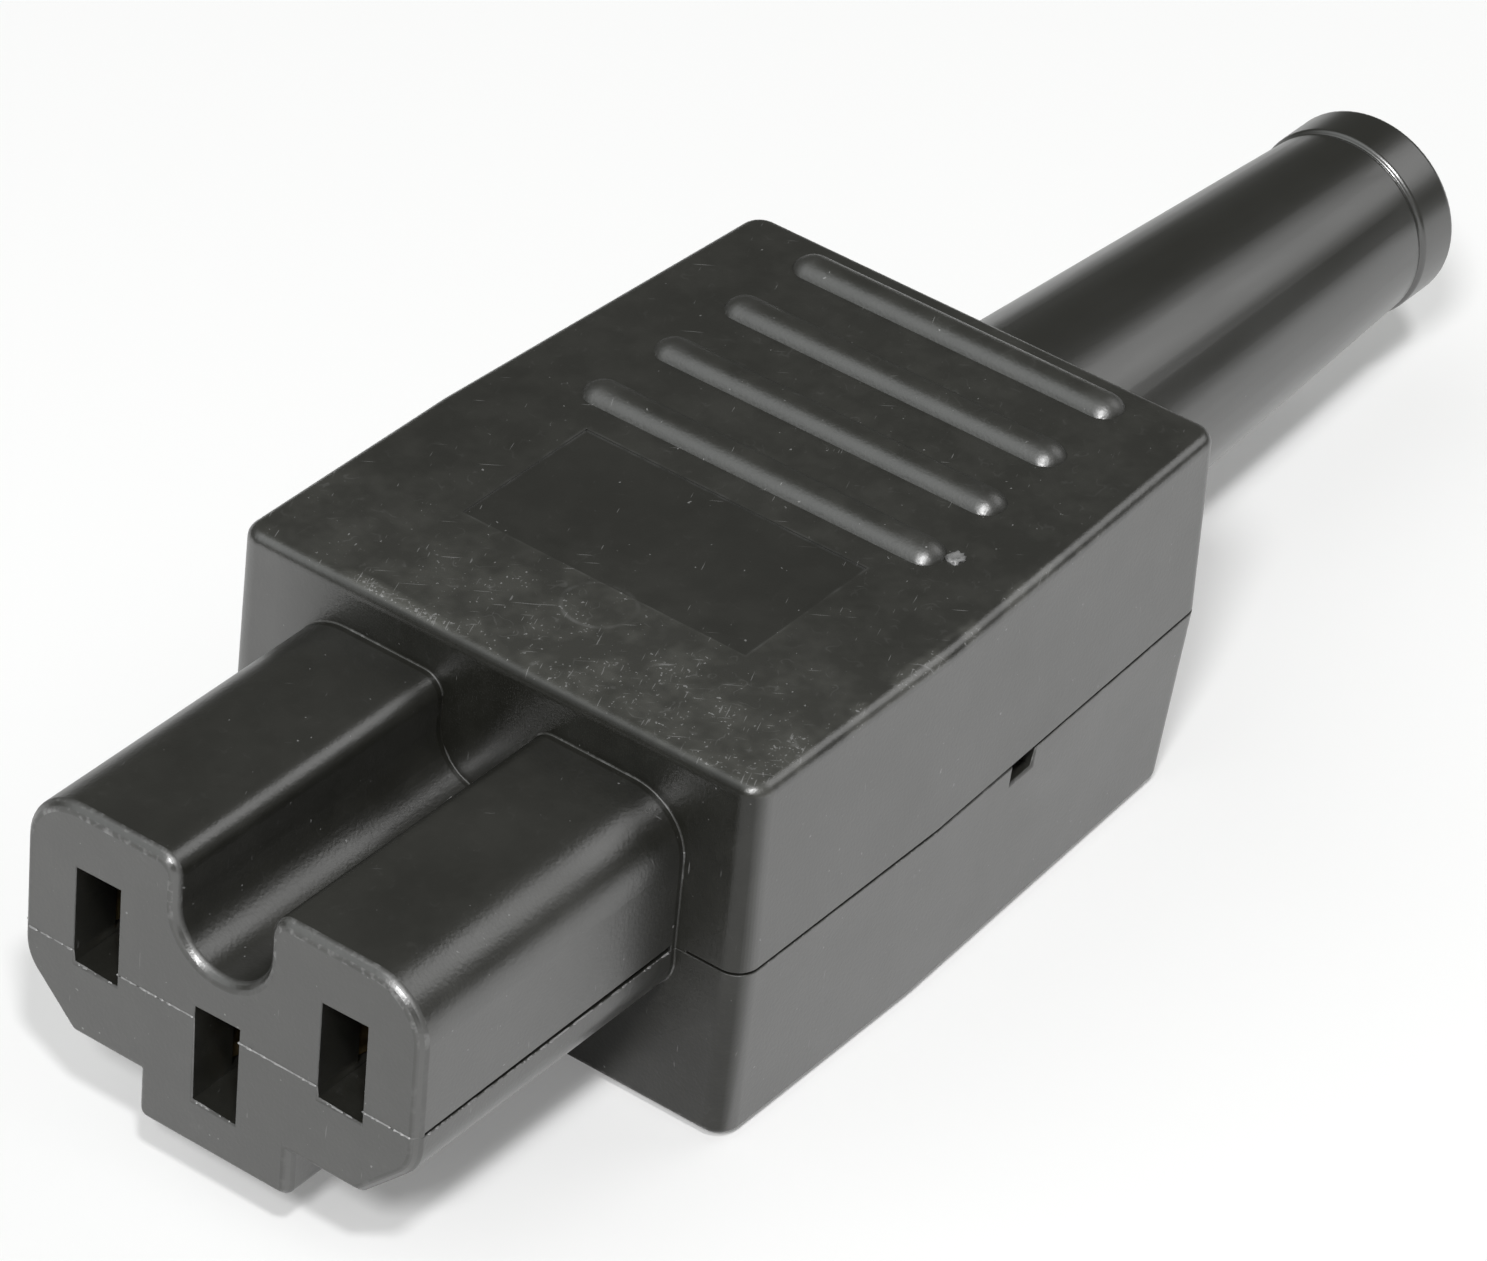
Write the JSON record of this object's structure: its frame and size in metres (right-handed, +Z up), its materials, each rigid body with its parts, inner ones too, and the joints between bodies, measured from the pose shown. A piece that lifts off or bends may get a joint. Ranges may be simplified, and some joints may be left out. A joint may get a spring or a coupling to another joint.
{
  "type": "iec power connector",
  "caption": "Rewirable keyed appliance cord connector: two moulded half shells with a notched nose, spring contacts, pillar terminals, cord clamp and a conical cord sleeve.",
  "frame": {"origin": "middle of the body's flat underside", "axes": "+X towards the cord, nose along -X; +Y to the line contact's side; +Z up, earth contact on the lower side"},
  "size_m": [0.0931, 0.03, 0.0212],
  "materials": {
    "shell_plastic": "satin black moulded plastic",
    "sleeve_plastic": "smooth soft black plastic",
    "contact_brass": "rolled strip",
    "terminal_brass": "turned and milled",
    "screw_steel": "zinc plated",
    "clamp_plastic": "moulded"
  },
  "bodies": {
    "root": {"upper_shell": "shell_plastic", "lower_shell": "shell_plastic", "cord_sleeve": "sleeve_plastic", "line_contact": "contact_brass", "neutral_contact": "contact_brass", "earth_contact": "contact_brass", "line_terminal": "terminal_brass", "neutral_terminal": "terminal_brass", "earth_terminal": "terminal_brass", "terminal_screws": "screw_steel", "cord_clamp": "clamp_plastic", "clamp_screws": "screw_steel", "housing_screws": "screw_steel", "housing_nuts": "screw_steel"}
  },
  "joints": []
}
